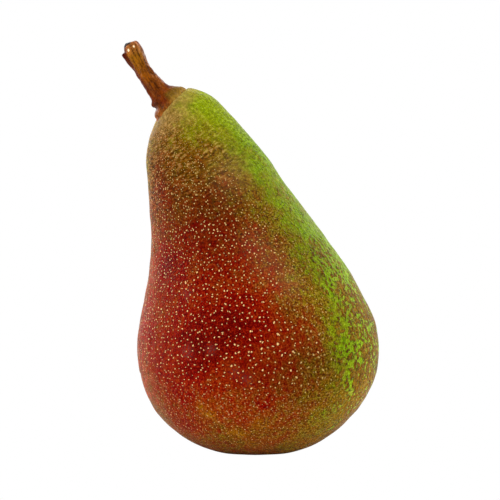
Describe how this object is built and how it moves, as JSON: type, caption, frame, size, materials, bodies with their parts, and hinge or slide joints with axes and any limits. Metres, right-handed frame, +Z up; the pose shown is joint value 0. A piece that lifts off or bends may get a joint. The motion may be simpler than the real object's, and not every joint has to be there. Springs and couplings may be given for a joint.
{
  "type": "pear",
  "caption": "Ripe red-blushed pear with a leaning neck, a woody stem in its shoulder and a dried calyx in the basin it stands on.",
  "frame": {"origin": "on the ground, under the middle of the whole pear's box", "axes": "+Z up, -Y the pictured front, -X the side that the neck and the stem lean to"},
  "size_m": [0.0702, 0.066, 0.1112],
  "materials": {
    "skin": "waxy skin, red blush running to olive and green, with pale lenticels",
    "stem_wood": "smooth brown bark with a dull sheen",
    "dry_calyx": "dry, matt, dark brown"
  },
  "bodies": {
    "root": {"fruit": "skin", "stem": "stem_wood", "calyx": "dry_calyx"}
  },
  "joints": []
}
